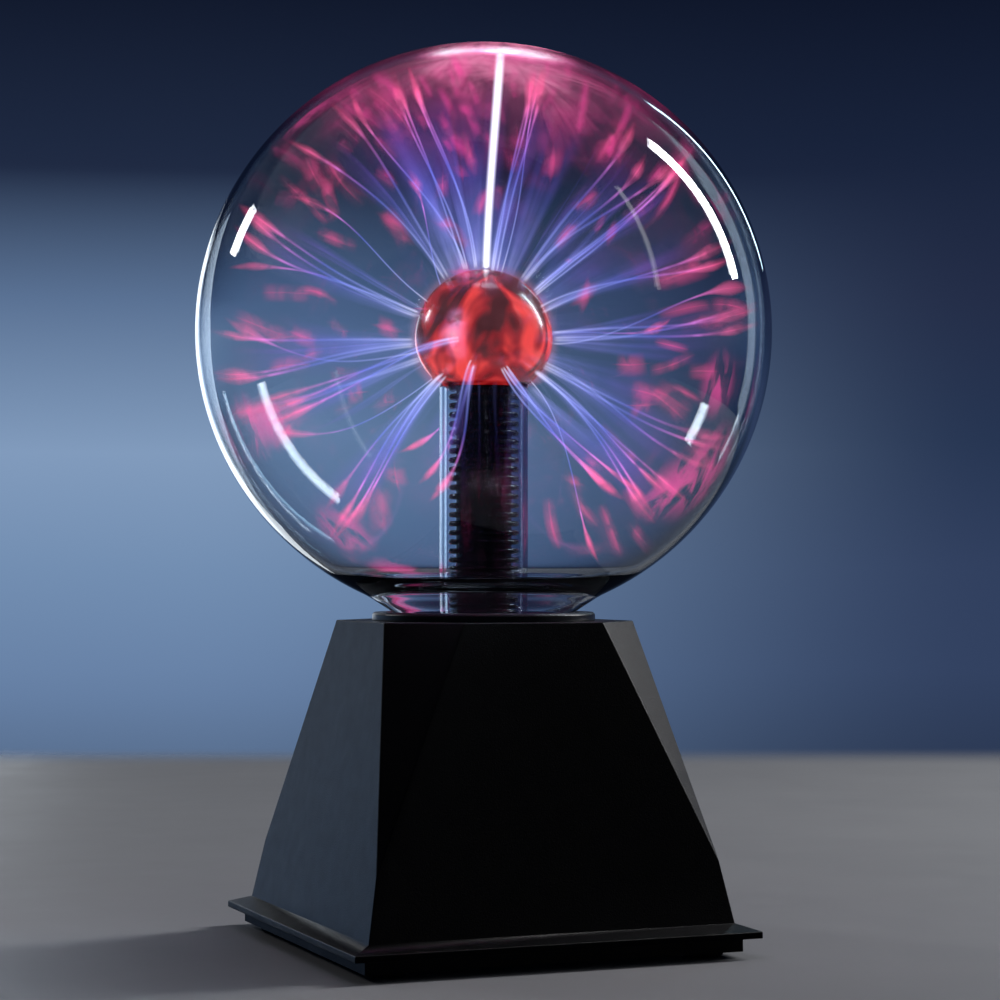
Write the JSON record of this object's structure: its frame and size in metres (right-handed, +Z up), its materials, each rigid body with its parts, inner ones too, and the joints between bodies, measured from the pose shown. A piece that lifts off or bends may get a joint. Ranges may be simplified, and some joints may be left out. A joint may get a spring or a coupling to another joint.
{
  "type": "plasma ball",
  "caption": "Clear glass globe with a small red electrode ball on a ribbed stem, on a faceted black base with a lip, feet, power inlet and rocker switch.",
  "frame": {"origin": "centre of the plane that the four feet rest on", "axes": "+Z up along the globe's axis, -Y the front, +Y the back with the switch and the power inlet"},
  "size_m": [0.2032, 0.2032, 0.3161],
  "materials": {
    "clear_glass": "clear, polished",
    "electrode_red": "glossy red coating on glass",
    "sleeve_black": "semi-gloss silicone",
    "housing_black": "fine satin texture",
    "cover_black": "matte moulded",
    "collar_black": "semi-gloss moulded",
    "foot_rubber": "matte rubber",
    "silicone_grey": "matte silicone",
    "seat_plastic": "matte moulded",
    "zinc_steel": "zinc plated",
    "brass": "bright",
    "lead_red": "silicone insulation",
    "lead_black": "insulation",
    "board_green": "solder mask",
    "ferrite": "matte ferrite",
    "potting_black": "cast resin",
    "bobbin_cream": "moulded",
    "copper_enamel": "enamelled copper",
    "chip_black": "moulded epoxy",
    "sink_aluminium": "extruded",
    "capacitor_blue": "shrink sleeve",
    "film_orange": "dipped",
    "resistor_tan": "lacquered",
    "trimmer_blue": "moulded",
    "header_white": "moulded nylon",
    "switch_black": "moulded",
    "contact_plate": "plated"
  },
  "bodies": {
    "root": {"globe": "clear_glass", "stem_tube": "clear_glass", "electrode_ball": "electrode_red", "insulator_sleeve": "sleeve_black", "contact_cap": "brass", "contact_spring": "contact_plate", "high_voltage_lead": "lead_red", "neck_collar": "collar_black", "neck_gasket": "silicone_grey", "globe_seat": "seat_plastic", "seat_screws": "zinc_steel", "housing": "housing_black", "bottom_cover": "cover_black", "rubber_feet": "foot_rubber", "cover_screws": "zinc_steel", "circuit_board": "board_green", "board_screws": "zinc_steel", "transformer_core": "ferrite", "high_voltage_coil": "potting_black", "transformer_bobbin": "bobbin_cream", "transformer_winding": "copper_enamel", "power_transistor": "chip_black", "heat_sink": "sink_aluminium", "transistor_screw": "zinc_steel", "filter_capacitors": "capacitor_blue", "film_capacitors": "film_orange", "resistors": "resistor_tan", "driver_chip": "chip_black", "trimmer": "trimmer_blue", "microphone": "sink_aluminium", "wire_headers": "header_white", "dc_jack": "switch_black", "dc_jack_pin": "contact_plate", "dc_jack_nut": "zinc_steel", "switch_body": "switch_black", "switch_terminals": "brass", "switch_wires": "lead_red", "power_wires": "lead_black"},
    "switch_rocker": {"rocker": "switch_black"}
  },
  "joints": [
    {"name": "rocker_tilt", "type": "hinge", "parent": "root", "child": "switch_rocker", "pos_m": [0.022, 0.06076, 0.036], "axis": [-1, 0, 0], "range_deg": [0, 22]}
  ]
}
